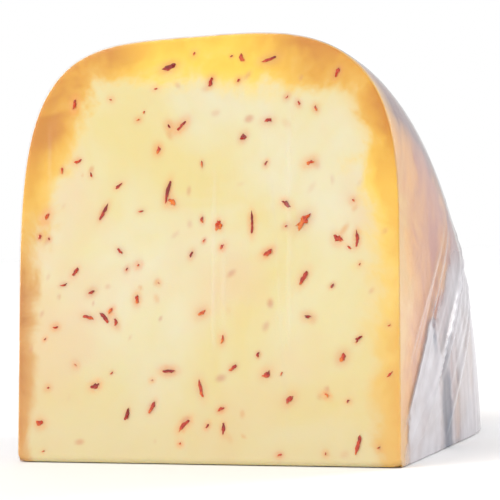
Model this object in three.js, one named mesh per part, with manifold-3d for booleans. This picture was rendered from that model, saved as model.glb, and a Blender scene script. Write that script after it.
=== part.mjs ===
// A quarter of a round Gouda-type cheese with chili flakes in it, wrapped in clear stretch film.
// Millimetres, +Z up. The quarter stands on one of its two cut faces and shows the other to -Y.
// The wheel's axis runs along X, so the wheel's two flat faces point to -X and +X, and its rim
// curves from the top over to the back. The origin is at the middle of the base.

import * as THREE from 'three';
import { mergeVertices } from 'three/addons/utils/BufferGeometryUtils.js';
import Module from 'manifold-3d';

// ---- Driving dimensions ----

// The wheel that the quarter was cut from
const WHEEL_RADIUS = 118;
const WHEEL_THICKNESS = 114;
const WEDGE_ANGLE = 85;        // degrees between the two cut faces
// Each flat face curves into the rim from this radius out. Power 2 is an ellipse, and a higher
// power is a squarer shoulder: the wheel slumped a little as it ripened, so its sides differ.
const LEFT_SHOULDER = { start: 30, power: 4.2 };
const RIGHT_SHOULDER = { start: 58, power: 3.3 };

// The film, drawn thicker than real film so that it is a solid
const FILM_GAP = 0.4;          // between the cheese and the film
const FILM_THICKNESS = 0.5;
const SEAM_WIDTH = 2;          // the slit in the base where the film's ends meet
const SEAM_LENGTH = 84;
const SEAM_SHARE = 0.72;       // how far back under the base the slit is

// The flakes, which are set in pockets in the upright cut face
const FLAKE_GAP = 0.35;        // room round a flake in its pocket
const FLAKE_PROUD = 0.1;       // how far a flake stands out of the face
const FLAKE_DEPTH = 1.3;       // how far it goes in, as a share of its width plus 1 mm
const FLAKE_SIDES = 10;
const RAGGED_EDGE = 0.16;      // how uneven a flake's outline is
const BLADE_DEPTH = 1;         // added to every flake's depth

// How finely round shapes are stepped
const SHOULDER_STEPS = 9;
const WHEEL_STEPS = 90;

// The flakes that catch the eye on the upright face, placed by eye: across and up from the middle
// of its bottom edge to 5 mm, length and width in millimetres, and turn from level to 15 degrees
const NOTABLE_FLAKES = [
  // Along the top
  { across: -10, up: 110, length: 4.5, width: 1.5, turn: 15 },
  { across: 20, up: 110, length: 4.5, width: 1, turn: 15 },
  { across: 40, up: 105, length: 3, width: 1, turn: 60 },
  // Two slim ones left of the middle
  { across: -10, up: 75, length: 6.5, width: 1.2, turn: 75 },
  { across: -30, up: 70, length: 5, width: 1, turn: 60 },
  // The cluster right of the middle, with the largest of all
  { across: 5, up: 65, length: 3, width: 2.5, turn: 75 },
  { across: 15, up: 65, length: 6, width: 1, turn: 90 },
  { across: 25, up: 70, length: 3.5, width: 1.5, turn: -30 },
  { across: 30, up: 65, length: 5.5, width: 2.5, turn: 45 },
  { across: 40, up: 60, length: 3, width: 2.5, turn: -45 },
  { across: 45, up: 60, length: 4.5, width: 1, turn: 90 },
  { across: 30, up: 50, length: 4.5, width: 1.5, turn: 60 },
  // The lower half
  { across: -35, up: 40, length: 4, width: 1.2, turn: -15 },
  { across: -30, up: 40, length: 4, width: 1.2, turn: -45 },
  { across: -10, up: 25, length: 4, width: 1.2, turn: 0 },
  { across: 0, up: 20, length: 5, width: 1.2, turn: -75 },
  { across: -15, up: 15, length: 4, width: 1.2, turn: 60 },
  { across: -5, up: 10, length: 4.5, width: 1.2, turn: 45 },
  { across: -50, up: 10, length: 2.5, width: 2, turn: 0 },
  { across: 45, up: 5, length: 5.5, width: 1.2, turn: 75 },
];
const FLAKE_COUNT = 36;        // with the others, which are scattered over the rest of the face
const FLAKE_SPACING = 7;       // at least this far between the middles of a scattered flake and another
const FLAKE_MARGIN = 5;        // how far inside the face's outline the scattered ones are
const FLAKE_BEND = 0.3;        // how far a flake's middle bows out, at most

// ---- Values worked out from them ----

const CUT_ANGLE = THREE.MathUtils.degToRad(WEDGE_ANGLE);
const FILM_OUTSIDE = FILM_GAP + FILM_THICKNESS;

// ---- Materials ----

const cheeseMaterial = new THREE.MeshStandardMaterial({ color: 0xf2dc9c, roughness: 0.45, metalness: 0 });
const filmMaterial = new THREE.MeshStandardMaterial({
  color: 0xeef1f3,
  roughness: 0.12,
  metalness: 0,
  transparent: true,
  opacity: 0.3,
});
const chiliMaterial = new THREE.MeshStandardMaterial({ color: 0x9a2f18, roughness: 0.5, metalness: 0 });

// ---- Solids: joining and cutting ----

const wasm = await Module();
wasm.setup();

// A closed three.js geometry as a solid, without the triangles that collapse at a wheel's poles
function toSolid(geometry) {
  const bare = geometry.clone();
  bare.deleteAttribute('normal');
  bare.deleteAttribute('uv');
  const merged = mergeVertices(bare);
  const corners = merged.index.array;
  const kept = [];
  for (let i = 0; i < corners.length; i += 3) {
    const [a, b, c] = [corners[i], corners[i + 1], corners[i + 2]];
    if (a !== b && b !== c && c !== a) kept.push(a, b, c);
  }
  return new wasm.Manifold(new wasm.Mesh({
    numProp: 3,
    vertProperties: new Float32Array(merged.attributes.position.array),
    triVerts: new Uint32Array(kept),
  }));
}

function toGeometry(solid) {
  const { vertProperties, triVerts } = solid.getMesh();
  const geometry = new THREE.BufferGeometry();
  geometry.setAttribute('position', new THREE.BufferAttribute(vertProperties, 3));
  geometry.setIndex(new THREE.BufferAttribute(triVerts, 1));
  geometry.computeVertexNormals();
  return geometry;
}

// ---- The wheel and the cut ----

// Half of the wheel's section, from the axis out over the rim and back to the axis
function wheelProfile(outside) {
  const halfWidth = WHEEL_THICKNESS / 2 + outside;
  const points = [new THREE.Vector2(0, -halfWidth)];
  for (let step = -SHOULDER_STEPS; step <= SHOULDER_STEPS; step += 1) {
    const side = Math.sign(step);
    const shoulder = side < 0 ? LEFT_SHOULDER : RIGHT_SHOULDER;
    const turn = (Math.PI / 2) * (1 - Math.abs(step) / SHOULDER_STEPS);
    const across = side * Math.cos(turn) ** (2 / shoulder.power);
    const out = Math.sin(turn) ** (2 / shoulder.power);
    const shoulderHeight = WHEEL_RADIUS + outside - shoulder.start;
    points.push(new THREE.Vector2(shoulder.start + shoulderHeight * out, halfWidth * across));
  }
  points.push(new THREE.Vector2(0, halfWidth));
  return points;
}

// The whole wheel, its axis along X, grown by outside all round
function wheelSolid(outside) {
  const wheel = new THREE.LatheGeometry(wheelProfile(outside), WHEEL_STEPS);
  wheel.rotateZ(-Math.PI / 2);
  return toSolid(wheel);
}

// The room between the two cut planes, each moved out by outside
function sectorSolid(outside) {
  const reach = 2 * WHEEL_RADIUS;
  const cornerBack = (-outside * (1 + Math.cos(CUT_ANGLE))) / Math.sin(CUT_ANGLE);
  const sector = new THREE.Shape([
    new THREE.Vector2(cornerBack, -outside),
    new THREE.Vector2(reach, -outside),
    new THREE.Vector2(reach, reach),
    new THREE.Vector2(cornerBack + reach * Math.cos(CUT_ANGLE), -outside + reach * Math.sin(CUT_ANGLE)),
  ]);
  const prism = new THREE.ExtrudeGeometry(sector, { depth: 2 * reach, bevelEnabled: false });
  prism.translate(0, 0, -reach);
  const lieAlongX = new THREE.Matrix4().makeBasis(
    new THREE.Vector3(0, 1, 0),
    new THREE.Vector3(0, 0, 1),
    new THREE.Vector3(1, 0, 0),
  );
  prism.applyMatrix4(lieAlongX);
  return toSolid(prism);
}

function wedgeSolid(outside) {
  return wheelSolid(outside).intersect(sectorSolid(outside));
}

// How far the section reaches to one side, at this distance from the axis
function sectionReach(shoulder, radius) {
  const share = Math.max(0, (radius - shoulder.start) / (WHEEL_RADIUS - shoulder.start));
  return (WHEEL_THICKNESS / 2) * (1 - share ** shoulder.power) ** (1 / shoulder.power);
}

// ---- Flakes ----

// A share from 0 to 1 for each index: its digits in this base, mirrored behind the point. Shares
// in two bases scatter places evenly, and they are the same in each run.
function scatteredShare(index, base) {
  let share = 0;
  let digitWorth = 1 / base;
  for (let rest = index; rest > 0; rest = Math.floor(rest / base)) {
    share += digitWorth * (rest % base);
    digitWorth /= base;
  }
  return share;
}

function placeFlakes() {
  const flakes = [...NOTABLE_FLAKES];
  for (let index = 1; flakes.length < FLAKE_COUNT; index += 1) {
    const up = FLAKE_MARGIN + (WHEEL_RADIUS - 2 * FLAKE_MARGIN) * scatteredShare(index, 3);
    const side = 2 * scatteredShare(index, 2) - 1;
    const reach = sectionReach(side < 0 ? LEFT_SHOULDER : RIGHT_SHOULDER, up);
    const across = side * (reach - FLAKE_MARGIN);
    const isClear = flakes.every(
      (other) => Math.hypot(other.across - across, other.up - up) > FLAKE_SPACING,
    );
    if (isClear) {
      const length = 2.5 + 1.5 * scatteredShare(index, 5);
      const width = 1 + 0.6 * scatteredShare(index, 7);
      const turn = 20 + 80 * scatteredShare(index, 11);
      flakes.push({ across, up, length, width, turn });
    }
  }
  return flakes;
}

// A closed body through rings of equal size, each end closed to its middle
function loftRings(rings) {
  const sides = rings[0].length;
  const points = rings.flat();
  const faces = [];
  for (let ring = 0; ring < rings.length - 1; ring += 1) {
    for (let side = 0; side < sides; side += 1) {
      const next = (side + 1) % sides;
      const [a, b] = [ring * sides + side, ring * sides + next];
      faces.push(a, b, b + sides, a, b + sides, a + sides);
    }
  }
  const lastRing = (rings.length - 1) * sides;
  const startMiddle = points.length;
  const endMiddle = startMiddle + 1;
  for (const ring of [rings[0], rings[rings.length - 1]]) {
    const middle = new THREE.Vector3();
    ring.forEach((point) => middle.addScaledVector(point, 1 / sides));
    points.push(middle);
  }
  for (let side = 0; side < sides; side += 1) {
    const next = (side + 1) % sides;
    faces.push(startMiddle, next, side);
    faces.push(endMiddle, lastRing + side, lastRing + next);
  }
  const geometry = new THREE.BufferGeometry().setFromPoints(points);
  geometry.setIndex(faces);
  geometry.computeVertexNormals();
  return geometry;
}

// A bent, ragged chip that lies in its face's plane and goes in along -Z.
// room is added all round, and front is where the chip ends on the outside.
function chipGeometry(flake, number, room, front) {
  const depth = FLAKE_DEPTH * flake.width + BLADE_DEPTH + room;
  const bend = FLAKE_BEND * Math.sin(5 * number);
  const levels = [
    { z: -depth, scale: 0.55 },
    { z: -0.6 * depth, scale: 0.9 },
    { z: 0, scale: 1 },
    { z: front, scale: 0.9 },
  ];
  const rings = levels.map(({ z, scale }) => {
    const ring = [];
    for (let side = 0; side < FLAKE_SIDES; side += 1) {
      const turn = (2 * Math.PI * side) / FLAKE_SIDES;
      const ragged = 1 + RAGGED_EDGE * Math.sin(3 * turn + 2 * number) * Math.cos(2 * turn + number);
      const along = ((flake.length / 2) * ragged * scale + room) * Math.cos(turn);
      const aside = ((flake.width / 2) * ragged * scale + room) * Math.sin(turn);
      const share = along / (flake.length / 2);
      ring.push(new THREE.Vector3(along, aside + bend * (1 - share * share), z));
    }
    return ring;
  });
  const chip = loftRings(rings);
  chip.rotateZ(THREE.MathUtils.degToRad(flake.turn));
  chip.translate(flake.across, flake.up, 0);
  return chip;
}

// ---- The upright cut face, which the flakes are placed on: X across, Y up, Z out of the cheese ----

const cutFace = new THREE.Group();
cutFace.rotation.x = CUT_ANGLE;
cutFace.updateMatrix();

const flakes = placeFlakes();
flakes.forEach((flake, index) => {
  const number = index + 1;
  const mesh = new THREE.Mesh(chipGeometry(flake, number, 0, FLAKE_PROUD), chiliMaterial);
  mesh.name = `chili_flake_${String(number).padStart(2, '0')}`;
  cutFace.add(mesh);
});

// ---- The cheese: paste and rind in one body, with a pocket round each flake ----

function cheeseGeometry() {
  let cheese = wedgeSolid(0);
  flakes.forEach((flake, index) => {
    const pocket = chipGeometry(flake, index + 1, FLAKE_GAP, 2 * FLAKE_GAP);
    pocket.applyMatrix4(cutFace.matrix);
    cheese = cheese.subtract(toSolid(pocket));
  });
  return toGeometry(cheese);
}

const cheeseMesh = new THREE.Mesh(cheeseGeometry(), cheeseMaterial);
cheeseMesh.name = 'cheese_wedge';

// ---- The film: a shell all round, with the slit in its base where its ends meet ----

function filmGeometry() {
  const seam = new THREE.BoxGeometry(SEAM_LENGTH, SEAM_WIDTH, 2 * FILM_OUTSIDE);
  seam.translate(0, SEAM_SHARE * WHEEL_RADIUS, -FILM_OUTSIDE);
  const shell = wedgeSolid(FILM_OUTSIDE).subtract(wedgeSolid(FILM_GAP)).subtract(toSolid(seam));
  return toGeometry(shell);
}

const filmMesh = new THREE.Mesh(filmGeometry(), filmMaterial);
filmMesh.name = 'film_wrap';

// ---- The whole, moved so that the middle of its base is the origin ----

const group = new THREE.Group();
group.add(cheeseMesh, filmMesh, cutFace);
filmMesh.geometry.computeBoundingBox();
const box = filmMesh.geometry.boundingBox;
group.position.set(0, -(box.min.y + box.max.y) / 2, -box.min.z);

export default group;
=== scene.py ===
"""A quarter of a small round cheese with chili flakes, wrapped in clear stretch film.

The quarter stands on one cut face and shows the other to -Y. The wheel's axis runs along X through
the front edge of the base, so its flat faces look to -X and +X and its rim curves from the top to
the back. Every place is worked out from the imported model's boxes, in metres.
"""

import math

import bmesh
import bpy
import numpy as np
from mathutils import Matrix, Vector


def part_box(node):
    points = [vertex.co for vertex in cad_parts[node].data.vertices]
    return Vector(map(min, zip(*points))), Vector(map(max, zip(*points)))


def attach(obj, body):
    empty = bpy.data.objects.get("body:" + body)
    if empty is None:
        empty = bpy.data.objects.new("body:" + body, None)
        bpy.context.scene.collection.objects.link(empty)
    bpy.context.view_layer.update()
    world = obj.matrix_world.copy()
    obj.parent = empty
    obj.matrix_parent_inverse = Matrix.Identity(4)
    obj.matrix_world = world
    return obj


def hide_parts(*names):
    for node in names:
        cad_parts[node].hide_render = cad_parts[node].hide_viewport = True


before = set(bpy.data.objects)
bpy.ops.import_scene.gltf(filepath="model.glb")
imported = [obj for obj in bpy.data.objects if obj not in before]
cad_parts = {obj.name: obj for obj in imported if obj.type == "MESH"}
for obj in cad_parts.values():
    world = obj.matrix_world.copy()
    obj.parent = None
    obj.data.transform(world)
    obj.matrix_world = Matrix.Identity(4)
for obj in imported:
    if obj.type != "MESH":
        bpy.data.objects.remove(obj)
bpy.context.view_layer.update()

BODY = "root"
MM = 0.001

# ---- Measures from the frame ----

cheese_low, cheese_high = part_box("cheese_wedge")
HALF_WIDTH = (cheese_high.x - cheese_low.x) / 2
RADIUS = cheese_high.y - cheese_low.y
AXIS_Y = cheese_low.y
AXIS_Z = cheese_low.z
FLAKE_NODES = sorted(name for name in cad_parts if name.startswith("chili_flake"))

# ---- The wheel's shape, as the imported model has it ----

WEDGE_ANGLE = math.radians(85)
LEFT_SHOULDER = (30 / 118, 4.2)    # where the flat face starts to curve, as a share of the radius,
RIGHT_SHOULDER = (58 / 118, 3.3)   # and the power of the curve
PROFILE_STEPS = 600                # points on each shoulder, before they are spaced evenly
COARSE_PROFILE = 260               # points enough to measure a distance from the rind

# ---- The film ----

FILM_GAP = 0.14 * MM               # between the cheese and the film where it lies tight
BASE_LEVEL = 0.32 * MM             # underside of the cheese, with the film's hems below it


def srgb(red, green, blue):
    """A colour given as it looks on a screen, 0 to 255, as the linear colour that shaders take."""
    def linear(value):
        share = value / 255
        return share / 12.92 if share <= 0.04045 else ((share + 0.055) / 1.055) ** 2.4
    return (linear(red), linear(green), linear(blue), 1.0)


def smoothstep(low, high, values):
    share = np.clip((values - low) / (high - low), 0, 1)
    return share * share * (3 - 2 * share)


def waves(points, size, seed, count=9):
    """Smooth noise from about -1 to 1 with features of a given size, from sine waves."""
    rng = np.random.default_rng(seed)
    total = np.zeros(len(points))
    for _ in range(count):
        direction = rng.normal(size=points.shape[1])
        direction /= np.linalg.norm(direction)
        pitch = size * rng.uniform(0.7, 1.7)
        total += np.sin(points @ direction * (2 * math.pi / pitch) + rng.uniform(0, 2 * math.pi))
    return total / math.sqrt(count / 2) / 2


# =====================================================================
# Surfaces of the wheel
# =====================================================================

def wheel_profile(count, outside=0.0):
    """Half of the wheel's section as evenly spaced points (x, r), from the left end of the axis
    over the rim to its right end, with the normals that go with them."""
    half = HALF_WIDTH + outside
    line = [(-half, 0.0)]
    for step in range(-PROFILE_STEPS, PROFILE_STEPS + 1):
        side = -1 if step < 0 else 1
        start, power = LEFT_SHOULDER if side < 0 else RIGHT_SHOULDER
        start *= RADIUS
        turn = math.pi / 2 * (1 - abs(step) / PROFILE_STEPS)
        across = side * max(math.cos(turn), 0.0) ** (2 / power) if step else 0.0
        out = math.sin(turn) ** (2 / power)
        line.append((half * across, start + (RADIUS + outside - start) * out))
    line.append((half, 0.0))
    line = np.array(line)
    length = np.concatenate([[0], np.cumsum(np.linalg.norm(np.diff(line, axis=0), axis=1))])
    at = np.linspace(0, length[-1], count)
    points = np.stack([np.interp(at, length, line[:, k]) for k in (0, 1)], axis=1)
    along = np.gradient(points, axis=0)
    along[0], along[-1] = (0, 1), (0, -1)
    along /= np.linalg.norm(along, axis=1)[:, None]
    normals = np.stack([-along[:, 1], along[:, 0]], axis=1)
    return points, normals


def turned(points, angle):
    """Points (x, r) of the section, turned about the axis to an angle above the base."""
    return np.stack([
        points[:, 0],
        AXIS_Y + points[:, 1] * np.cos(angle),
        AXIS_Z + points[:, 1] * np.sin(angle),
    ], axis=1)


def cut_angles(count):
    """Angles from the base up to the upright face, closer together near the two cuts."""
    crowding = 0.12
    share = np.linspace(0, 1, count)
    return WEDGE_ANGLE * (share - crowding * np.sin(2 * math.pi * share))


def grid_faces(rows, columns, start, flip=False, closed=False):
    """Quads over a grid of points whose first index is start."""
    faces = []
    for row in range(rows - 1):
        for column in range(columns if closed else columns - 1):
            a = start + row * columns + column
            b = start + row * columns + (column + 1) % columns
            quad = (a, b, b + columns, a + columns)
            faces.append(quad[::-1] if flip else quad)
    return faces


def face_rings(outline, centre, rings):
    """Rings from an outline in to its centre, the first one being the outline, then the centre."""
    shares = 1 - np.linspace(0, 1, rings + 1)[:-1]
    points = [centre + share * (outline - centre) for share in shares]
    return np.concatenate(points + [centre[None, :]])


def ring_faces(rings, sides, start, flip=False):
    """Quads between the rings of face_rings, and triangles to its centre."""
    faces = grid_faces(rings, sides, start, flip=flip, closed=True)
    last, middle = start + (rings - 1) * sides, start + rings * sides
    for side in range(sides):
        triangle = (last + side, last + (side + 1) % sides, middle)
        faces.append(triangle[::-1] if flip else triangle)
    return faces


def linked(name, data):
    """A new object with this data, in the scene."""
    added = bpy.data.objects.new(name, data)
    bpy.context.scene.collection.objects.link(added)
    return added


def new_object(name, points, faces):
    mesh = bpy.data.meshes.new(name)
    mesh.from_pydata([tuple(point) for point in points], [], faces)
    mesh.update()
    return linked(name, mesh)


def vertex_vectors(piece, kind):
    """One vector for each point of a piece: its place for "co", its direction out for "normal"."""
    flat = np.empty(len(piece.data.vertices) * 3)
    piece.data.vertices.foreach_get(kind, flat)
    return flat.reshape(-1, 3)


def coordinates(piece):
    return vertex_vectors(piece, "co")


def set_coordinates(piece, points):
    piece.data.vertices.foreach_set("co", points.ravel())
    piece.data.update()


def set_attribute(piece, name, values):
    layer = piece.data.attributes.new(name, "FLOAT", "POINT")
    layer.data.foreach_set("value", np.asarray(values, dtype=np.float32))


def shade_smooth(piece):
    piece.data.polygons.foreach_set("use_smooth", [True] * len(piece.data.polygons))


# ---- Where a point lies on the wedge ----

def section_place(points):
    """x, and the distance r from the axis, of each point."""
    return points[:, 0], np.hypot(points[:, 1] - AXIS_Y, points[:, 2] - AXIS_Z)


def face_distances(points):
    """How far each point is behind the upright cut plane, and above the base's cut plane."""
    back, up = points[:, 1] - AXIS_Y, points[:, 2] - AXIS_Z
    behind = back * math.sin(WEDGE_ANGLE) - up * math.cos(WEDGE_ANGLE)
    return behind, up


def face_place(points):
    """Across and up on the upright cut face, from the middle of its bottom edge."""
    back, up = points[:, 1] - AXIS_Y, points[:, 2] - AXIS_Z
    return np.stack([points[:, 0], back * math.cos(WEDGE_ANGLE) + up * math.sin(WEDGE_ANGLE)], axis=1)


def rind_distance(points):
    """How deep each point lies under the wheel's outside, worked out in batches to spare memory."""
    batch = 4000
    line, _ = wheel_profile(COARSE_PROFILE)
    place = np.stack(section_place(points), axis=1)
    nearest = np.empty(len(place))
    for start in range(0, len(place), batch):
        part = place[start:start + batch]
        gaps = ((part[:, None, :] - line[None, :, :]) ** 2).sum(axis=2)
        nearest[start:start + batch] = np.sqrt(gaps.min(axis=1))
    return nearest


FACE_OUT = Vector((0, -math.sin(WEDGE_ANGLE), math.cos(WEDGE_ANGLE)))   # out of the upright face
FACE_UP = Vector((0, math.cos(WEDGE_ANGLE), math.sin(WEDGE_ANGLE)))
BASE_OUT = Vector((0, 0, -1))
BASE_BACK = Vector((0, 1, 0))


# =====================================================================
# Chili flakes
# =====================================================================

UPRIGHT_SPECKS = 64        # small flakes on the upright face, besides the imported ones
BASE_FLAKES = 90
SMOKY_SPOTS = 52           # flakes that lie deeper and show through the paste as soft spots
SPECK_SIDES = 14
SPECK_PROUD = 0.12 * MM    # how far a speck stands out of its face
LOWER_END_TONE = 0.7       # how much more orange a flake's lower end is than its upper end
FLAKE_GAP = 2.6 * MM       # between the middles of two scattered flakes
RIND_GAP = 2.5 * MM        # from a scattered flake's middle up to the rind
WIDTH_USED = 0.97          # the share of the face's width that flakes are scattered over
# How high the face goes, as shares of its height, at shares of the half width
TOP_PLACES = (0, 0.6, 1)
TOP_SHARES = (1, 0.9, 0.5)


class Flake:
    """Where a flake lies on a cut face: across and up in metres, and its length, width and turn."""

    def __init__(self, across, up, length, width, turn):
        self.place = np.array([across, up])
        self.length = length
        self.width = width
        self.turn = turn

    def closeness(self, places, reach):
        """1 at the flake's middle, about a third at reach outside its outline, and then falling to
        0, for places on the face."""
        offset = places - self.place
        cosine, sine = math.cos(self.turn), math.sin(self.turn)
        along = offset @ np.array([cosine, sine]) / (self.length / 2 + reach)
        aside = offset @ np.array([-sine, cosine]) / (self.width / 2 + reach)
        return np.exp(-((along ** 2 + aside ** 2) ** 1.5))


def packed_flake(name):
    """The place and size of a packed flake, from its own mesh."""
    points = coordinates(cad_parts[name])
    places = face_place(points)
    middle = places.mean(axis=0)
    _, _, axes = np.linalg.svd(places - middle, full_matrices=False)
    spread = np.abs((places - middle) @ axes.T).max(axis=0)
    turn = math.atan2(axes[0, 1], axes[0, 0])
    return Flake(middle[0], middle[1], 2 * spread[0], 2 * spread[1], turn)


def scattered(count, height, taken, seed, longest):
    """Random flakes inside a cut face of a given height, clear of those already there."""
    rng = np.random.default_rng(seed)
    lowest = 2 * MM
    found = []
    while len(found) < count:
        across = rng.uniform(-HALF_WIDTH, HALF_WIDTH) * WIDTH_USED
        up = rng.uniform(lowest, height)
        top = height * np.interp(abs(across) / HALF_WIDTH, TOP_PLACES, TOP_SHARES)
        if up > top - RIND_GAP:
            continue
        length = longest * rng.uniform(0.4, 1.0) ** 1.6
        flake = Flake(across, up, length, length * rng.uniform(0.25, 0.6), rng.normal(1.1, 0.7))
        gaps = [np.linalg.norm(other.place - flake.place) for other in taken + found]
        if all(gap > FLAKE_GAP for gap in gaps):
            found.append(flake)
    return found


def chip(flake, seed):
    """A ragged chip's points as (along, aside, out) on its cut face, and its faces."""
    rng = np.random.default_rng(seed)
    turn = np.linspace(0, 2 * math.pi, SPECK_SIDES, endpoint=False)
    ragged = 1 + 0.22 * rng.normal(size=SPECK_SIDES).clip(-1.5, 1.5)
    bend = flake.width * rng.uniform(-0.5, 0.5)
    depth = 0.6 * flake.width + 0.5 * MM
    levels = (
        (-depth, 0.5), (-0.5 * depth, 0.9), (0.0, 1.0), (0.7 * SPECK_PROUD, 0.95), (SPECK_PROUD, 0.7),
    )
    rings = []
    for out, scale in levels:
        along = flake.length / 2 * np.cos(turn) * ragged * scale
        aside = flake.width / 2 * np.sin(turn) * ragged * scale
        aside = aside + bend * (1 - (2 * along / flake.length) ** 2)
        rings.append(np.stack([along, aside, np.full(SPECK_SIDES, out)], axis=1))
    points = np.concatenate(rings + [rings[0].mean(axis=0)[None], rings[-1].mean(axis=0)[None]])
    faces = grid_faces(len(rings), SPECK_SIDES, 0, closed=True)
    first, last = len(rings) * SPECK_SIDES, len(rings) * SPECK_SIDES + 1
    top = (len(rings) - 1) * SPECK_SIDES
    for side in range(SPECK_SIDES):
        following = (side + 1) % SPECK_SIDES
        faces.append((following, side, first))
        faces.append((top + side, top + following, last))
    return points, faces


def specks(name, flakes, out, up, seed):
    """One piece with a ragged chip for each flake, set in the cut face that looks this way out."""
    rng = np.random.default_rng(seed)
    all_points, all_faces, tones = [], [], []
    count = 0
    across_way = np.array(up.cross(out))
    for number, flake in enumerate(flakes):
        points, faces = chip(flake, seed + number)
        cosine, sine = math.cos(flake.turn), math.sin(flake.turn)
        across = flake.place[0] + cosine * points[:, 0] - sine * points[:, 1]
        height = flake.place[1] + sine * points[:, 0] + cosine * points[:, 1]
        placed = (
            np.array([0, AXIS_Y, AXIS_Z])
            + across[:, None] * across_way
            + height[:, None] * np.array(up)
            + points[:, 2:3] * np.array(out)
        )
        all_points.append(placed)
        all_faces += [tuple(count + corner for corner in face) for face in faces]
        tones.append(rng.uniform() - LOWER_END_TONE * points[:, 0] / flake.length)
        count += len(placed)
    piece = new_object(name, np.concatenate(all_points), all_faces)
    set_attribute(piece, "tone", np.concatenate(tones))
    shade_smooth(piece)
    return piece


def torn(points, seed):
    """A flake's points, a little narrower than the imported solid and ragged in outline."""
    middle = points.mean(axis=0)
    _, _, axes = np.linalg.svd(points - middle, full_matrices=False)
    way = axes[0]
    offset = points - middle
    along = (offset @ way)[:, None] * way
    aside = offset - along
    out = np.array(FACE_OUT)
    aside_out = (aside @ out)[:, None] * out
    aside_flat = aside - aside_out
    wide = 0.78 + 0.34 * waves(points, 1.5 * MM, seed=seed) + 0.20 * waves(points, 0.6 * MM, seed=seed + 50)
    wide = np.clip(wide, 0.25, 1.25)
    long = 1 + 0.10 * waves(points, 1.2 * MM, seed=seed + 100)
    return middle + along * long[:, None] + aside_flat * wide[:, None] + aside_out


def packed_flakes_piece(name):
    """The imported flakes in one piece, with finer, torn edges."""
    rng = np.random.default_rng(11)
    least_height = 1.5 * MM
    joined = bmesh.new()
    tone = joined.verts.layers.float.new("tone")
    for number, node in enumerate(FLAKE_NODES):
        part = bmesh.new()
        part.from_mesh(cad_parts[node].data)
        bmesh.ops.remove_doubles(part, verts=part.verts, dist=0.002 * MM)
        bmesh.ops.subdivide_edges(part, edges=part.edges, cuts=3, use_grid_fill=True)
        shade = rng.uniform(0, 0.9)
        points = torn(np.array([vert.co for vert in part.verts]), number)
        below = (points[:, 2].mean() - points[:, 2]) / max(np.ptp(points[:, 2]), least_height)
        copies = {}
        for vert, point, lower in zip(part.verts, points, below):
            copies[vert] = joined.verts.new(point)
            copies[vert][tone] = shade + LOWER_END_TONE * lower
        for face in part.faces:
            joined.faces.new([copies[vert] for vert in face.verts])
        part.free()
    mesh = bpy.data.meshes.new(name)
    joined.to_mesh(mesh)
    joined.free()
    piece = linked(name, mesh)
    shade_smooth(piece)
    return piece


packed_flakes = [packed_flake(name) for name in FLAKE_NODES]
upright_specks = scattered(UPRIGHT_SPECKS, RADIUS, packed_flakes, seed=5, longest=2.4 * MM)
base_flakes = scattered(BASE_FLAKES, RADIUS, [], seed=6, longest=5.0 * MM)
smoky_spots = scattered(SMOKY_SPOTS, RADIUS, [], seed=7, longest=2.8 * MM)

flakes_piece = packed_flakes_piece("chili_flakes")
upright_piece = specks("chili_specks_upright", upright_specks, FACE_OUT, FACE_UP, seed=100)
base_piece = specks("chili_flakes_base", base_flakes, BASE_OUT, BASE_BACK, seed=400)
set_coordinates(base_piece, coordinates(base_piece) + np.array([0, 0, BASE_LEVEL - AXIS_Z]))


# =====================================================================
# The cheese
# =====================================================================

CHEESE_COLUMNS = 400       # points over the rim from axis to axis
CHEESE_ROWS = 96
AXIS_POINTS = 142          # points along the axis, where a cut face's outline closes
UPRIGHT_RINGS = 96
BASE_RINGS = 60
FACE_CENTRE = (0.0, 0.47)  # where the rings of a cut face meet, as shares of the half width and radius
ON_FACE = 0.4 * MM         # a point as near as this to a cut plane lies on the cut face


def cut_face_outline(section, axis_points):
    """The section's outline with points along the axis too, as one closed line."""
    edge = np.linspace(section[-1, 0], section[0, 0], axis_points + 2)[1:-1]
    return np.concatenate([section, np.stack([edge, np.zeros(axis_points)], axis=1)])


def make_cheese():
    section, _ = wheel_profile(CHEESE_COLUMNS)
    angles = cut_angles(CHEESE_ROWS)
    wheel = np.concatenate([turned(section, angle) for angle in angles])
    outline = cut_face_outline(section, AXIS_POINTS)
    centre = np.array([FACE_CENTRE[0] * HALF_WIDTH, FACE_CENTRE[1] * RADIUS])
    sides = len(outline)
    upright = turned(face_rings(outline, centre, UPRIGHT_RINGS), WEDGE_ANGLE)
    base = turned(face_rings(outline, centre, BASE_RINGS), 0.0)
    points = np.concatenate([wheel, upright, base])
    faces = grid_faces(CHEESE_ROWS, CHEESE_COLUMNS, 0)
    rind_faces = len(faces)
    faces += ring_faces(UPRIGHT_RINGS, sides, len(wheel))
    faces += ring_faces(BASE_RINGS, sides, len(wheel) + len(upright), flip=True)
    piece = new_object("cheese", points, faces)
    for index, polygon in enumerate(piece.data.polygons):
        polygon.material_index = 0 if index < rind_faces else 1
    return piece


def round_cut_edges(piece, passes):
    """Joins the surfaces at the cuts and rounds the edges there a little."""
    near = 1.3 * MM
    mesh = bmesh.new()
    mesh.from_mesh(piece.data)
    bmesh.ops.remove_doubles(mesh, verts=mesh.verts, dist=0.02 * MM)
    bmesh.ops.recalc_face_normals(mesh, faces=mesh.faces)
    places = np.array([vert.co for vert in mesh.verts])
    behind, up = face_distances(places)
    outside = rind_distance(places)
    on_edge = ((behind < near) & (up < near)) | ((np.minimum(behind, up) < near) & (outside < near))
    edge_verts = [vert for vert, chosen in zip(mesh.verts, on_edge) if chosen]
    for _ in range(passes):
        bmesh.ops.smooth_vert(
            mesh, verts=edge_verts, factor=0.5, use_axis_x=True, use_axis_y=True, use_axis_z=True,
        )
    mesh.to_mesh(piece.data)
    mesh.free()
    piece.data.update()


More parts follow.
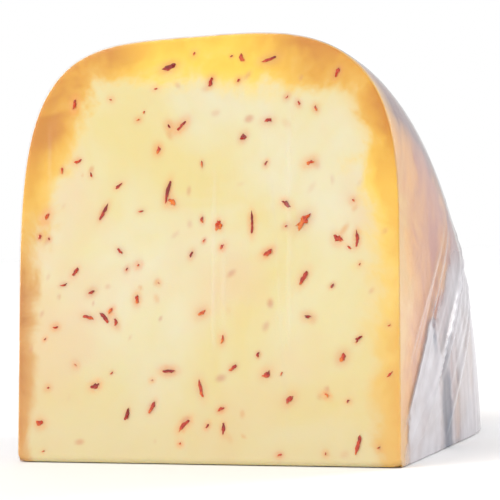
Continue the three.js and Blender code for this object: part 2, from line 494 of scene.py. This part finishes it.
def flake_marks(points, on_upright, on_base):
    """For each point, from 0: the orange halo of the flakes, the soft spots of those that lie deeper,
    and the dip that a flake makes in the paste."""
    places = face_place(points)
    base_places = np.stack([points[:, 0], points[:, 1] - AXIS_Y], axis=1)
    halo, smoke, dip = (np.zeros(len(points)) for _ in range(3))
    rng = np.random.default_rng(21)
    for flakes, chosen, where in (
        (packed_flakes + upright_specks, on_upright, places),
        (base_flakes, on_base, base_places),
    ):
        for flake in flakes:
            strength = rng.uniform(0.2, 1.0)
            reach = rng.uniform(0.5, 1.2) * MM
            halo[chosen] += strength * flake.closeness(where[chosen], reach)
            smoke[chosen] += 0.45 * rng.uniform() * flake.closeness(where[chosen], 1.6 * reach)
            dip[chosen] = np.maximum(dip[chosen], flake.closeness(where[chosen], 0.5 * MM))
    for spot in smoky_spots:
        reach = rng.uniform(0.15, 0.6) * MM
        smoke[on_upright] += rng.uniform(0.2, 0.9) * spot.closeness(places[on_upright], reach)
    return halo, smoke, dip


def add_cheese_marks(piece):
    """Uneven surfaces, and the attributes that the paste's and the rind's colours are made from."""
    points = coordinates(piece)
    normals = vertex_vectors(piece, "normal")
    behind, up = face_distances(points)
    depth = rind_distance(points)
    on_upright, on_base = behind < ON_FACE, up < ON_FACE
    halo, smoke, dip = flake_marks(points, on_upright, on_base)
    set_attribute(piece, "halo", np.clip(halo, 0, 1))
    set_attribute(piece, "smoke", np.clip(smoke, 0, 1))

    # The orange band is wider in the corners, and narrower low down, above all at the left
    x, r = section_place(points)
    from_corner = np.hypot(HALF_WIDTH - np.abs(x), RADIUS - r)
    corner = np.exp(-((from_corner / (36 * MM)) ** 2))
    low = 1 - smoothstep(0.3 * RADIUS, 0.62 * RADIUS, points[:, 2])
    low_left = low * (1 - smoothstep(-0.5, 0.5, x / HALF_WIDTH))
    set_attribute(piece, "corner", corner)
    set_attribute(piece, "depth", depth * (1 - 0.55 * corner) * (1 + 0.2 * low + 0.8 * low_left) / MM)
    set_attribute(piece, "behind", behind / MM)
    set_attribute(piece, "bend", 1 - np.abs(normals[:, 0]))

    # Heights in mm: the paste's lumps fade out towards the rind, and the rind's towards the cuts
    paste_lumps = 0.10 * waves(points, 38 * MM, seed=31) + 0.04 * waves(points, 9 * MM, seed=32) - 0.1
    rind_lumps = 0.10 * waves(points, 30 * MM, seed=33) + 0.05 * waves(points, 8 * MM, seed=34) - 0.12
    paste_height = paste_lumps * smoothstep(0, 5 * MM, depth)
    rind_height = rind_lumps * smoothstep(0, 6 * MM, np.minimum(behind, up))
    height = np.where(on_upright | on_base, paste_height, rind_height) - 0.03 * dip
    points = points + normals * (height * MM)[:, None]
    points[:, 2] = np.where(up < 0.3 * MM, BASE_LEVEL, points[:, 2])
    set_coordinates(piece, points)


cheese = make_cheese()
round_cut_edges(cheese, passes=5)
add_cheese_marks(cheese)
shade_smooth(cheese)


# =====================================================================
# The film
# =====================================================================

FILM_COLUMNS = 400
FILM_ROWS = 200
FILM_AXIS_POINTS = 142
FILM_RINGS = 90
FLAP_ROWS = 22

# Pleats on a flat side, as lines that climb away from the front at 45 degrees: the height in mm
# at which the line passes over the base's front edge, how far along it the pleat starts and ends,
# its rise and the width of its gentle side.
MAIN_PLEATS = (
    (6, 6, 80, 0.55, 1.4),
    (1, 14, 60, 0.45, 1.2),
    (-16, 24, 92, 1.1, 2.6),
    (-24, 52, 104, 0.7, 2.0),
    (-36, 66, 112, 0.6, 2.4),
)
LESSER_PLEATS = 14
# The sheet's ear, several layers thick, between the first pleats, and the loose layer behind it.
# In mm: back from the front edge, across the pleats, along them, or up.
EAR_BACK = (8, 38)
EAR_ACROSS = (-60, 4.0)
EAR_ENDS = (46, 52)
LOOSE_TOP = (58, 74)
DARK_REFLECTION_BACK = (41, 50)      # where a dark reflection is painted on the loose layer
DARK_REFLECTION_TOP = (16, 36)

RIM_CREASES = 34
CREASE_TURNS = (0.15, 0.75, 2.4, 1.45)     # the ways they run, in radians from the wheel's axis
FRONT_STREAKS = 14

# The hems under the base: how deep each goes in, and the height it lies at, in mm
SIDE_HEM = (40, 0.25)
FRONT_HEM = (64, 0.17)
BACK_HEM = (72, 0.10)
HEM_CORNER = 0.80          # how far back the side hems go, as a share of the radius


def box_share(value, low, high, soft):
    """1 between low and high and 0 outside them, changing from soft before each to soft after it."""
    return smoothstep(low - soft, low + soft, value) * (1 - smoothstep(high - soft, high + soft, value))


def pleat(distance, gentle, steep):
    """A lapped fold's height across its crest line, gentle on one side and steep on the other."""
    return np.where(distance < 0, np.exp(distance / gentle), np.exp(-((distance / steep) ** 2)))


def side_folds(back, up, seed):
    """Height in mm, haze with painted glare, and the painted light and shade of the haze's colour, of the
    film on a flat side, for places in mm.
    """
    rng = np.random.default_rng(seed)
    diagonal = (up - back) / math.sqrt(2)
    along = (up + back) / math.sqrt(2)
    places = np.stack([back, up], axis=1)
    height, haze_and_glare = np.zeros(len(back)), np.zeros(len(back))
    lesser = [
        (
            rng.uniform(-45, 14), rng.uniform(15, 60), rng.uniform(62, 110),
            rng.uniform(0.1, 0.45), rng.uniform(1.6, 4.0),
        )
        for _ in range(LESSER_PLEATS)
    ]
    for crossing, start, end, rise, width in list(MAIN_PLEATS) + lesser:
        sway = rng.uniform(0.3, 0.8) * np.sin(along / rng.uniform(9, 20) + rng.uniform(0, 6))
        lean = rng.uniform(-0.05, 0.05) * (along - 50)
        crest = diagonal - crossing / math.sqrt(2) - sway - lean
        fade = box_share(along, start, end, 9)
        height += rise * fade * pleat(-crest, width, rng.uniform(0.5, 0.8))
        haze_and_glare += 0.6 * rise * fade * np.exp(-((crest / 0.7) ** 2))
    # The ear: its white is partly the haze of its gathered layers and partly a painted reflection
    ragged = 0.9 * waves(places, 9, seed=seed + 1) + 0.5 * waves(places, 3, seed=seed + 5)
    ear = box_share(back + ragged, *EAR_BACK, 1.2) * box_share(diagonal + 0.8 * ragged, *EAR_ACROSS, 1.0)
    ear *= 1 - smoothstep(*EAR_ENDS, along + 2 * ragged)
    haze_and_glare = np.maximum(haze_and_glare, ear * (0.74 + 0.06 * waves(places, 7, seed=seed + 2)))
    # Behind it one loose layer with upright streaks, its white partly haze and partly a painted reflection
    loose = (1 - smoothstep(-3, 1, diagonal + ragged)) * (1 - smoothstep(*LOOSE_TOP, up + 0.2 * back))
    upright = places * np.array([1, 0.12])
    streaks = 0.7 * waves(upright, 10, seed=seed + 3) + 0.5 * waves(upright, 3.5, seed=seed + 4)
    haze_and_glare += loose * (0.50 + 0.14 * streaks + 0.12 * smoothstep(52, 70, back)) * (1 - ear)
    # Painted dark reflection in it: a slate patch, and a thin slate line at the ear's upper end
    painted_dark_reflection = box_share(back + 0.8 * ragged, *DARK_REFLECTION_BACK, 2.0) * (1 - smoothstep(*DARK_REFLECTION_TOP, up + 3 * ragged))
    painted_dark_reflection += 0.8 * box_share(back + 0.12 * (up - 40), 32, 35, 0.8) * box_share(up, 28, 44, 4)
    haze_and_glare += 0.12 * painted_dark_reflection
    painted_haze_shading = 0.5 + 0.5 * np.clip(painted_dark_reflection, 0, 1)
    height += 0.05 * loose * streaks
    return height, haze_and_glare, painted_haze_shading


def straight_creases(places, seed):
    """How strongly each place (x, round) in mm lies on the film's straight creases over the rim: about
    1 on a crease, and more where creases cross."""
    rng = np.random.default_rng(seed)
    total = np.zeros(len(places))
    for _ in range(RIM_CREASES):
        middle = np.array([rng.uniform(-60, 60), rng.uniform(5, 170)])
        turn = rng.choice(CREASE_TURNS) + rng.normal(0, 0.12)
        way = np.array([math.cos(turn), math.sin(turn)])
        along = (places - middle) @ way
        aside = (places - middle) @ np.array([-way[1], way[0]])
        half_length = rng.uniform(14, 48)
        aside = aside + rng.uniform(-0.8, 0.8) * (along / half_length) ** 2
        fade = np.clip(1 - (along / half_length) ** 2, 0, 1)
        total += rng.uniform(0.3, 1.0) * fade * pleat(aside, rng.uniform(0.8, 2.2), 0.6)
    return total


def film_marks(points, normals):
    """Height of the film's folds in metres, its haze with painted glare, and the painted light and shade of
    the haze's colour, from white at 0 over pale grey to slate at 1, for points where the film lies tight."""
    x, _ = section_place(points)
    back, up = (points[:, 1] - AXIS_Y) / MM, (points[:, 2] - AXIS_Z) / MM
    behind = face_distances(points)[0] / MM
    side_share = smoothstep(0.25, 0.9, np.abs(normals[:, 0]))
    flat_share = smoothstep(0.72, 0.97, np.abs(normals[:, 0]))
    front_share = smoothstep(0.6, 0.98, normals @ np.array(FACE_OUT))
    rim_share = np.clip(1 - side_share - front_share, 0, 1)
    round_share = side_share + rim_share

    height, haze_and_glare = np.zeros(len(points)), np.zeros(len(points))
    # Painted light and shade in the haze's colour: white on the front for painted highlights, pale grey on
    # the sides, which lie in shade
    painted_haze_shading = 0.5 * (1 - front_share)
    for side, seed in ((-1, 61), (1, 52)):
        chosen = x * side > 0
        folds, white, grey = side_folds(back[chosen], up[chosen], seed)
        quiet = smoothstep(0.5, 6, behind[chosen])
        height[chosen] += quiet * flat_share[chosen] * folds
        haze_and_glare[chosen] += quiet * side_share[chosen] * white
        painted_haze_shading[chosen] += quiet * side_share[chosen] * (grey - 0.5)
    haze_and_glare += 0.02 * round_share
    # Straight creases over the rim, with fine crinkles between them
    tight = smoothstep(0, 12, behind) * (rim_share + 0.4 * side_share)
    round_rim = np.stack([x / MM, np.arctan2(up, back) * RADIUS / MM], axis=1)
    creases = straight_creases(round_rim, seed=59)
    long_way = points * np.array([0.5, 1, 1])
    height += tight * (0.45 * creases + 0.06 * (1 + waves(long_way, 7 * MM, seed=56)))
    haze_and_glare += tight * 0.22 * creases
    # Upright streaks on the tight front: real ripples, with painted highlights of white haze along them
    streaks = np.zeros(len(points))
    rng = np.random.default_rng(57)
    for _ in range(FRONT_STREAKS):
        middle = rng.uniform(-52, 54)
        bottom, top = sorted(rng.uniform(5, 112, size=2))
        place = x / MM - middle - rng.uniform(-0.08, 0.02) * (up - 60)
        streaks += (
            rng.uniform(0.1, 1.0) ** 2 * box_share(up, bottom, top, 10)
            * np.exp(-((place / rng.uniform(0.35, 0.8)) ** 2))
        )
    upright_waves = waves(points * np.array([1, 0.1, 0.1]), 9 * MM, seed=58)
    height += front_share * (0.10 * streaks + 0.03 * upright_waves)
    haze_and_glare += front_share * (0.01 + 0.12 * streaks)
    return height * MM, np.clip(haze_and_glare, 0, 0.9), np.clip(painted_haze_shading, 0, 1)


def flap(edge_points, inward, depth, level, seed):
    """A hem of the film folded in under the base: rows of points from the edge inwards."""
    sway = np.random.default_rng(seed).uniform(0, 6)
    along = np.linspace(0, 1, len(edge_points))
    reach = depth * (1 - 0.35 * np.abs(2 * along - 1) ** 3 + 0.03 * np.sin(9 * along + sway))
    ripple = 0.015 * MM * np.sin(34 * along + 3 * sway)
    rows = []
    for share in np.arange(1, FLAP_ROWS + 1) / FLAP_ROWS:
        points = edge_points + (reach * share)[:, None] * inward
        points[:, 2] = edge_points[:, 2] + (level - edge_points[:, 2]) * smoothstep(0, 0.2, share)
        points[:, 2] += ripple * smoothstep(0, 0.3, share)
        rows.append(points)
    return rows


def make_film():
    section, section_normals = wheel_profile(FILM_COLUMNS, FILM_GAP)
    angles = cut_angles(FILM_ROWS)
    wheel = np.concatenate([turned(section, angle) for angle in angles])
    wheel_normals = np.concatenate([
        np.stack([
            section_normals[:, 0],
            section_normals[:, 1] * np.cos(angle),
            section_normals[:, 1] * np.sin(angle),
        ], axis=1)
        for angle in angles
    ])
    # The cut planes move out by the film's offset too, so the first and last rows do
    row_share = np.repeat(np.linspace(0, 1, FILM_ROWS), FILM_COLUMNS)
    slide_up = smoothstep(0.75, 1, row_share)
    slide_down = 1 - smoothstep(0, 0.25, row_share)
    wheel += FILM_GAP * (
        slide_up[:, None] * np.array(FACE_OUT) + slide_down[:, None] * np.array(BASE_OUT)
    )
    outline = cut_face_outline(section, FILM_AXIS_POINTS)
    centre = np.array([FACE_CENTRE[0] * HALF_WIDTH, FACE_CENTRE[1] * RADIUS])
    sides = len(outline)
    front = turned(face_rings(outline, centre, FILM_RINGS), WEDGE_ANGLE) + FILM_GAP * np.array(FACE_OUT)
    front_normals = np.tile(np.array(FACE_OUT), (len(front), 1))
    points = np.concatenate([wheel, front])
    normals = np.concatenate([wheel_normals, front_normals])
    faces = grid_faces(FILM_ROWS, FILM_COLUMNS, 0)
    faces += ring_faces(FILM_RINGS, sides, len(wheel))

    height, haze_and_glare, painted_haze_shading = film_marks(points, normals)
    points = points + normals * height[:, None]
    # Near the base it comes down with the cheese, which has thinner hems below it than the CAD part
    low = 1 - smoothstep(0.3 * MM, 4 * MM, points[:, 2] - AXIS_Z)
    points[:, 2] -= low * (AXIS_Z - BASE_LEVEL)

    # The hems under the base, inner ones first: left, right, front, back
    first_row = np.arange(FILM_COLUMNS)
    left_corner = int(np.argmax(section[:, 1] > HEM_CORNER * RADIUS))
    right_corner = FILM_COLUMNS - int(np.argmax(section[::-1, 1] > HEM_CORNER * RADIUS))
    axis_row = len(wheel) + FILM_COLUMNS + np.arange(FILM_AXIS_POINTS)
    hems = [
        (first_row[:left_corner], (1, 0, 0), SIDE_HEM),
        (first_row[right_corner:], (-1, 0, 0), SIDE_HEM),
        (axis_row, (0, 1, 0), FRONT_HEM),
        (first_row[left_corner:right_corner], (0, -1, 0), BACK_HEM),
    ]
    for edge, inward, (depth, level) in hems:
        start = len(points)
        rows = flap(points[edge], np.array(inward, float), depth * MM, level * MM, seed=start)
        points = np.concatenate([points] + rows)
        haze_and_glare = np.concatenate([haze_and_glare, np.full(FLAP_ROWS * len(edge), 0.25)])
        painted_haze_shading = np.concatenate([painted_haze_shading, np.full(FLAP_ROWS * len(edge), 0.5)])
        faces += [
            (edge[i + 1], edge[i], start + i, start + i + 1) for i in range(len(edge) - 1)
        ]
        faces += grid_faces(FLAP_ROWS, len(edge), start)
    piece = new_object("film", points, [tuple(int(corner) for corner in face) for face in faces])
    set_attribute(piece, "haze_and_glare", haze_and_glare)
    set_attribute(piece, "painted_haze_shading", painted_haze_shading)
    round_cut_edges(piece, passes=4)
    shade_smooth(piece)
    return piece


film = make_film()


# =====================================================================
# Materials
# =====================================================================

COLOUR_INPUTS = (6, 7)     # the sockets of a Mix node that take and give colours
COLOUR_OUTPUT = 2
BAND_STOPS = (0.0, 0.35, 0.7, 1.0)         # of the orange band's colours, from the paste to the rind


class Nodes:
    """Short calls that build one material's node tree."""

    def __init__(self, name):
        self.material = bpy.data.materials.new(name)
        self.material.use_nodes = True
        self.tree = self.material.node_tree
        self.tree.nodes.clear()
        self.output = self.add("ShaderNodeOutputMaterial")
        self.place = self.add("ShaderNodeTexCoord").outputs["Object"]

    def add(self, kind, **settings):
        node = self.tree.nodes.new(kind)
        for key, value in settings.items():
            setattr(node, key, value)
        return node

    def feed(self, socket, value):
        """Links a socket's value, or sets a plain number or colour on it."""
        if isinstance(value, bpy.types.NodeSocket):
            self.tree.links.new(value, socket)
        else:
            socket.default_value = value

    def attribute(self, name):
        return self.add("ShaderNodeAttribute", attribute_name=name).outputs["Fac"]

    def noise(self, scale, detail=3.0, roughness=0.55, distortion=0.0, stretch=None):
        place = self.place
        if stretch:
            mapping = self.add("ShaderNodeMapping")
            self.feed(mapping.inputs["Vector"], place)
            mapping.inputs["Scale"].default_value = stretch
            place = mapping.outputs["Vector"]
        node = self.add("ShaderNodeTexNoise")
        self.feed(node.inputs["Vector"], place)
        node.inputs["Scale"].default_value = scale
        node.inputs["Detail"].default_value = detail
        node.inputs["Roughness"].default_value = roughness
        node.inputs["Distortion"].default_value = distortion
        return node.outputs["Fac"]

    def math(self, operation, first, second):
        node = self.add("ShaderNodeMath", operation=operation)
        self.feed(node.inputs[0], first)
        self.feed(node.inputs[1], second)
        return node.outputs["Value"]

    def spread(self, value, low, high, to_low=0.0, to_high=1.0):
        """Maps low..high to to_low..to_high, held at the ends."""
        node = self.add("ShaderNodeMapRange")
        self.feed(node.inputs["Value"], value)
        ends = {"From Min": low, "From Max": high, "To Min": to_low, "To Max": to_high}
        for name, number in ends.items():
            node.inputs[name].default_value = number
        return node.outputs["Result"]

    def ramp(self, value, stops):
        node = self.add("ShaderNodeValToRGB")
        self.feed(node.inputs["Fac"], value)
        elements = node.color_ramp.elements
        while len(elements) < len(stops):
            elements.new(0.5)
        for element, (position, colour) in zip(elements, stops):
            element.position = position
            element.color = colour
        return node.outputs["Color"]

    def mix(self, share, first, second):
        node = self.add("ShaderNodeMix", data_type="RGBA")
        self.feed(node.inputs["Factor"], share)
        for number, colour in zip(COLOUR_INPUTS, (first, second)):
            self.feed(node.inputs[number], colour)
        return node.outputs[COLOUR_OUTPUT]

    def mix_shaders(self, share, first, second):
        node = self.add("ShaderNodeMixShader")
        self.feed(node.inputs["Fac"], share)
        self.feed(node.inputs[1], first)
        self.feed(node.inputs[2], second)
        return node.outputs["Shader"]

    def bump(self, height, distance, normal=None):
        node = self.add("ShaderNodeBump")
        node.inputs["Strength"].default_value = 1.0
        node.inputs["Distance"].default_value = distance
        self.feed(node.inputs["Height"], height)
        if normal is not None:
            self.feed(node.inputs["Normal"], normal)
        return node.outputs["Normal"]

    def principled(self, **values):
        node = self.add("ShaderNodeBsdfPrincipled")
        for name, value in values.items():
            self.feed(node.inputs[name.replace("_", " ")], value)
        return node.outputs["BSDF"]

    def wetted(self):
        """1 where the film wets the rind. The film and the cheese share one origin, so it is the
        same pattern in both of their materials."""
        return self.spread(self.noise(36, detail=4, distortion=0.3), 0.50, 0.59)

    def finish(self, shader):
        self.feed(self.output.inputs["Surface"], shader)
        return self.material


def paste_material():
    """Cream paste that turns orange towards the rind, stained round the flakes."""
    nodes = Nodes("cheese_paste")
    place = nodes.add("ShaderNodeSeparateXYZ")
    nodes.feed(place.inputs["Vector"], nodes.place)
    marbling = nodes.noise(22, detail=4, distortion=0.8)
    body = nodes.ramp(marbling, [
        (0.32, srgb(225, 216, 184)), (0.50, srgb(224, 212, 166)), (0.68, srgb(224, 206, 140)),
    ])
    blush = nodes.spread(nodes.noise(31, detail=3), 0.5, 0.7, 0.0, 0.65)
    body = nodes.mix(blush, body, srgb(226, 198, 158))
    # Darker and browner towards the base, in the paste and in the side band
    near_base = nodes.spread(place.outputs["Z"], 0, 0.35 * RADIUS, 0.55, 0.0)
    body = nodes.mix(near_base, body, srgb(214, 190, 130))
    # Yellower and brighter high up, and darker at the left than at the right
    high = nodes.spread(place.outputs["Z"], 0.40 * RADIUS, 0.80 * RADIUS)
    to_right = nodes.spread(place.outputs["X"], -0.6 * HALF_WIDTH, 0.6 * HALF_WIDTH)
    patches = nodes.spread(nodes.noise(48, detail=5, roughness=0.6, distortion=0.4), 0.35, 0.65, -5.0, 5.0)
    depth = nodes.math("ADD", nodes.attribute("depth"), patches)
    near_rind = nodes.spread(depth, 0.0, 13.5, 1.0, 0.0)

    def band_colours(*colours):
        return nodes.ramp(near_rind, [(stop, srgb(*colour)) for stop, colour in zip(BAND_STOPS, colours)])

    left_band = band_colours((222, 198, 142), (216, 172, 108), (206, 150, 80), (190, 126, 54))
    right_band = band_colours((228, 208, 150), (230, 202, 126), (232, 196, 102), (226, 180, 82))
    top_band = band_colours((232, 212, 148), (240, 210, 110), (246, 204, 66), (242, 190, 50))
    corner_band = band_colours((228, 206, 136), (228, 184, 84), (220, 160, 46), (204, 134, 30))
    side_band = nodes.mix(to_right, left_band, right_band)
    side_band = nodes.mix(near_base, side_band, srgb(208, 152, 78))
    band = nodes.mix(high, side_band, top_band)
    in_corner = nodes.spread(nodes.attribute("corner"), 0.22, 0.55)
    band = nodes.mix(in_corner, band, corner_band)
    colour = nodes.mix(nodes.spread(near_rind, 0.0, 0.5), body, band)
    mottle = nodes.spread(nodes.noise(900), 0.3, 0.7, 0.3, 0.8)
    halo = nodes.math("MULTIPLY", nodes.attribute("halo"), mottle)
    colour = nodes.mix(halo, colour, srgb(238, 150, 84))
    smoke = nodes.math("MULTIPLY", nodes.attribute("smoke"), 0.75)
    smoky = nodes.ramp(nodes.noise(70), [(0.4, srgb(198, 122, 104)), (0.6, srgb(220, 156, 92))])
    colour = nodes.mix(smoke, colour, smoky)
    normal = nodes.bump(nodes.noise(1500, detail=2), 0.03 * MM)
    return nodes.finish(nodes.principled(
        Base_Color=colour,
        Roughness=nodes.spread(marbling, 0.3, 0.7, 0.38, 0.52),
        Normal=normal,
        Subsurface_Weight=0.35,
        Subsurface_Radius=(1.0, 0.55, 0.22),
        Subsurface_Scale=0.003,
        Specular_IOR_Level=0.4,
    ))


def rind_material():
    """A thin rind, peach on the sides and tan round the rim, finely woven, with painted shade in dark mauve
    where the sides start to bend towards the rim.
    """
    nodes = Nodes("cheese_rind")
    blotch = nodes.noise(38, detail=5, distortion=1.0)
    wander = nodes.spread(blotch, 0.3, 0.7, -14.0, 14.0)
    behind = nodes.math("ADD", nodes.attribute("behind"), wander)
    flat_side = nodes.ramp(nodes.spread(behind, 0.0, 60.0), [
        (0.0, srgb(226, 180, 100)), (0.22, srgb(218, 156, 90)),
        (0.5, srgb(190, 124, 100)), (1.0, srgb(150, 92, 90)),
    ])
    shaped = nodes.math("ADD", nodes.attribute("bend"), nodes.spread(blotch, 0.3, 0.7, -0.04, 0.04))
    # Painted shade: dark mauve where a flat side starts to bend towards the rim, then the rim's own tan
    # further round
    bend_shade_and_rim = nodes.ramp(shaped, [
        (0.0, srgb(166, 104, 98)), (0.05, srgb(108, 60, 68)), (0.3, srgb(146, 90, 76)),
        (0.62, srgb(190, 128, 76)), (0.9, srgb(208, 148, 84)),
    ])
    near_cut = nodes.spread(nodes.attribute("behind"), 1.0, 9.0)
    bend = nodes.attribute("bend")
    how_bent = nodes.math("MULTIPLY", nodes.spread(bend, 0.0, 0.06), near_cut)
    colour = nodes.mix(how_bent, flat_side, bend_shade_and_rim)
    wet = nodes.math("MULTIPLY", nodes.wetted(), nodes.spread(bend, 0.0, 0.06, 0.5, 0.12))
    colour = nodes.mix(wet, colour, srgb(230, 176, 98))
    weave = nodes.noise(1300, detail=2, stretch=(1, 0.3, 0.3))
    pits = nodes.noise(420, detail=4)
    normal = nodes.bump(weave, 0.06 * MM)
    normal = nodes.bump(pits, 0.18 * MM, normal=normal)
    return nodes.finish(nodes.principled(
        Base_Color=colour,
        Roughness=nodes.spread(blotch, 0.3, 0.7, 0.42, 0.62),
        Normal=normal,
        Subsurface_Weight=0.12,
        Subsurface_Radius=(1.0, 0.5, 0.25),
        Subsurface_Scale=0.002,
        Specular_IOR_Level=0.4,
    ))


def chili_material():
    """Dried chili from dark red to orange-red: a tone for each flake, more orange at its lower end."""
    nodes = Nodes("chili")
    mottle = nodes.spread(nodes.noise(900, detail=3), 0.3, 0.7, -0.3, 0.3)
    tone = nodes.math("ADD", nodes.attribute("tone"), mottle)
    colour = nodes.ramp(tone, [
        (0.0, srgb(132, 30, 22)), (0.3, srgb(172, 46, 28)),
        (0.7, srgb(200, 70, 32)), (1.0, srgb(226, 122, 44)),
    ])
    wrinkle = nodes.bump(nodes.noise(2600, detail=3), 0.06 * MM)
    return nodes.finish(nodes.principled(
        Base_Color=colour,
        Roughness=nodes.spread(mottle, -0.3, 0.3, 0.55, 0.75),
        Normal=wrinkle,
        Specular_IOR_Level=0.25,
        Subsurface_Weight=0.15,
        Subsurface_Radius=(1.0, 0.3, 0.1),
        Subsurface_Scale=0.0008,
    ))


def film_material():
    """Clear film: mirrors more at a slant, and turns hazy where its layers gather; the haze also carries
    painted glare, and its colour painted light and shade.
    """
    nodes = Nodes("stretch_film")
    crinkle = nodes.noise(330, detail=3, distortion=0.5)
    normal = nodes.bump(crinkle, 0.05 * MM)
    clear = nodes.add("ShaderNodeBsdfTransparent").outputs["BSDF"]
    gloss = nodes.add("ShaderNodeBsdfGlossy")
    gloss.inputs["Roughness"].default_value = 0.07
    nodes.feed(gloss.inputs["Normal"], normal)
    slant = nodes.add("ShaderNodeLayerWeight")
    nodes.feed(slant.inputs["Normal"], normal)
    steep = nodes.math("POWER", slant.outputs["Facing"], 5.0)
    shine = nodes.mix_shaders(nodes.spread(steep, 0.0, 1.0, 0.035, 0.9), clear, gloss.outputs["BSDF"])
    # The haze's colour is painted light and shade: white for the front's painted highlights, pale grey for
    # the shaded sides and hems, slate for painted dark reflections
    haze_and_glare = nodes.principled(
        Base_Color=nodes.ramp(nodes.attribute("painted_haze_shading"), [
            (0.0, srgb(252, 250, 244)), (0.5, srgb(208, 205, 210)), (1.0, srgb(120, 126, 140)),
        ]),
        Roughness=0.3,
        Normal=normal,
    )
    patchy = nodes.spread(nodes.noise(120, detail=4), 0.25, 0.75, 0.88, 1.1)
    share = nodes.math("MULTIPLY", nodes.attribute("haze_and_glare"), patchy)
    off_rind = nodes.spread(nodes.wetted(), 0.0, 1.0, 0.07, 0.0)
    off_rind = nodes.math("MULTIPLY", off_rind, nodes.spread(nodes.attribute("painted_haze_shading"), 0.0, 0.5))
    share = nodes.math("ADD", share, off_rind)
    return nodes.finish(nodes.mix_shaders(share, shine, haze_and_glare))


def floor_material():
    """Plain pale floor."""
    nodes = Nodes("floor")
    shades = [(0.3, (0.94, 0.94, 0.94, 1)), (0.7, (0.96, 0.96, 0.96, 1))]
    shade = nodes.ramp(nodes.noise(3, detail=2), shades)
    return nodes.finish(nodes.principled(Base_Color=shade, Roughness=0.7, Specular_IOR_Level=0.2))


cheese.data.materials.append(rind_material())
cheese.data.materials.append(paste_material())
film.data.materials.append(film_material())
chili = chili_material()
for piece in (flakes_piece, upright_piece, base_piece):
    piece.data.materials.append(chili)


# =====================================================================
# What stands for what
# =====================================================================

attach(cheese, BODY)
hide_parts("cheese_wedge")

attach(film, BODY)
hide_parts("film_wrap")

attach(flakes_piece, BODY)
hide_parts(*FLAKE_NODES)
for piece in (upright_piece, base_piece):
    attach(piece, BODY)


# =====================================================================
# Floor, light and camera
# =====================================================================

def add_floor():
    size = 40 * RADIUS
    corners = [(-size, -size, 0), (size, -size, 0), (size, size, 0), (-size, size, 0)]
    floor = new_object("floor", corners, [(0, 1, 2, 3)])
    floor.data.materials.append(floor_material())


def direction(azimuth, elevation):
    """The way to something seen from the cheese. Azimuth 0 is in front of it, 90 on its right."""
    turn, rise = math.radians(azimuth), math.radians(elevation)
    return Vector((math.sin(turn) * math.cos(rise), -math.cos(turn) * math.cos(rise), math.sin(rise)))


def add_light(name, kind, azimuth, elevation, distance, energy):
    """A lamp that looks at the middle of the cheese."""
    lamp = bpy.data.lights.new(name, kind)
    lamp.energy = energy
    away = direction(azimuth, elevation)
    holder = linked(name, lamp)
    holder.location = Vector((0, 0, RADIUS / 2)) + away * distance
    holder.rotation_euler = (-away).to_track_quat("-Z", "Y").to_euler()
    return lamp


def add_world(seen, given):
    """A white surround that shows white and lights the cheese a little less strongly."""
    world = bpy.data.worlds.new("surround")
    bpy.context.scene.world = world
    world.use_nodes = True
    tree = world.node_tree
    tree.nodes.clear()
    output = tree.nodes.new("ShaderNodeOutputWorld")
    mixer = tree.nodes.new("ShaderNodeMixShader")
    path = tree.nodes.new("ShaderNodeLightPath")
    tree.links.new(path.outputs["Is Camera Ray"], mixer.inputs["Fac"])
    for socket, strength in ((1, given), (2, seen)):
        surround = tree.nodes.new("ShaderNodeBackground")
        surround.inputs["Color"].default_value = (1, 1, 1, 1)
        surround.inputs["Strength"].default_value = strength
        tree.links.new(surround.outputs["Background"], mixer.inputs[socket])
    tree.links.new(mixer.outputs["Shader"], output.inputs["Surface"])


CAMERA_AZIMUTH = 23.67          # degrees to the right of straight in front
CAMERA_ELEVATION = 0.34
CAMERA_DISTANCE = 4.2 * RADIUS  # from a point half a radius above the front edge of the base
CAMERA_AIM = (0.130, -0.012)    # how far right of and above that point it looks, in radii
CAMERA_ROLL = -1.98             # in degrees
CAMERA_LENS = 130.4             # focal length and sensor width in mm
CAMERA_SENSOR = 36


def add_camera():
    back = direction(CAMERA_AZIMUTH, CAMERA_ELEVATION)
    anchor = Vector((0, AXIS_Y, AXIS_Z + RADIUS / 2))
    right = direction(CAMERA_AZIMUTH + 90, 0)
    above = right.cross(-back)
    aim = anchor + CAMERA_AIM[0] * RADIUS * right + CAMERA_AIM[1] * RADIUS * above
    camera = linked("camera", bpy.data.cameras.new("camera"))
    camera.data.sensor_width = CAMERA_SENSOR
    camera.data.lens = CAMERA_LENS
    camera.data.clip_start = 0.01
    camera.data.clip_end = 100
    camera.location = anchor + back * CAMERA_DISTANCE
    ahead = (aim - camera.location).normalized()
    side = ahead.cross(Vector((0, 0, 1))).normalized()
    up = side.cross(ahead)
    level = Matrix((side, up, -ahead)).transposed()
    roll = Matrix.Rotation(math.radians(CAMERA_ROLL), 3, "Z")
    camera.rotation_mode = "QUATERNION"
    camera.rotation_quaternion = (level @ roll).to_quaternion()
    bpy.context.scene.camera = camera


add_floor()
add_world(seen=1.0, given=0.85)
key = add_light("key", "SUN", azimuth=-45, elevation=40, distance=2, energy=1.1)
key.angle = math.radians(40)
edge_light = add_light("edge_light", "AREA", azimuth=132, elevation=20, distance=1.3, energy=6.5)
edge_light.shape = "DISK"
edge_light.size = 0.5
strip_light = add_light("strip_light", "AREA", azimuth=-43, elevation=10, distance=1.3, energy=2.4)
strip_light.shape = "RECTANGLE"
strip_light.size, strip_light.size_y = 0.12, 0.8
add_camera()

scene = bpy.context.scene
scene.view_settings.view_transform = "Standard"
scene.view_settings.look = "None"
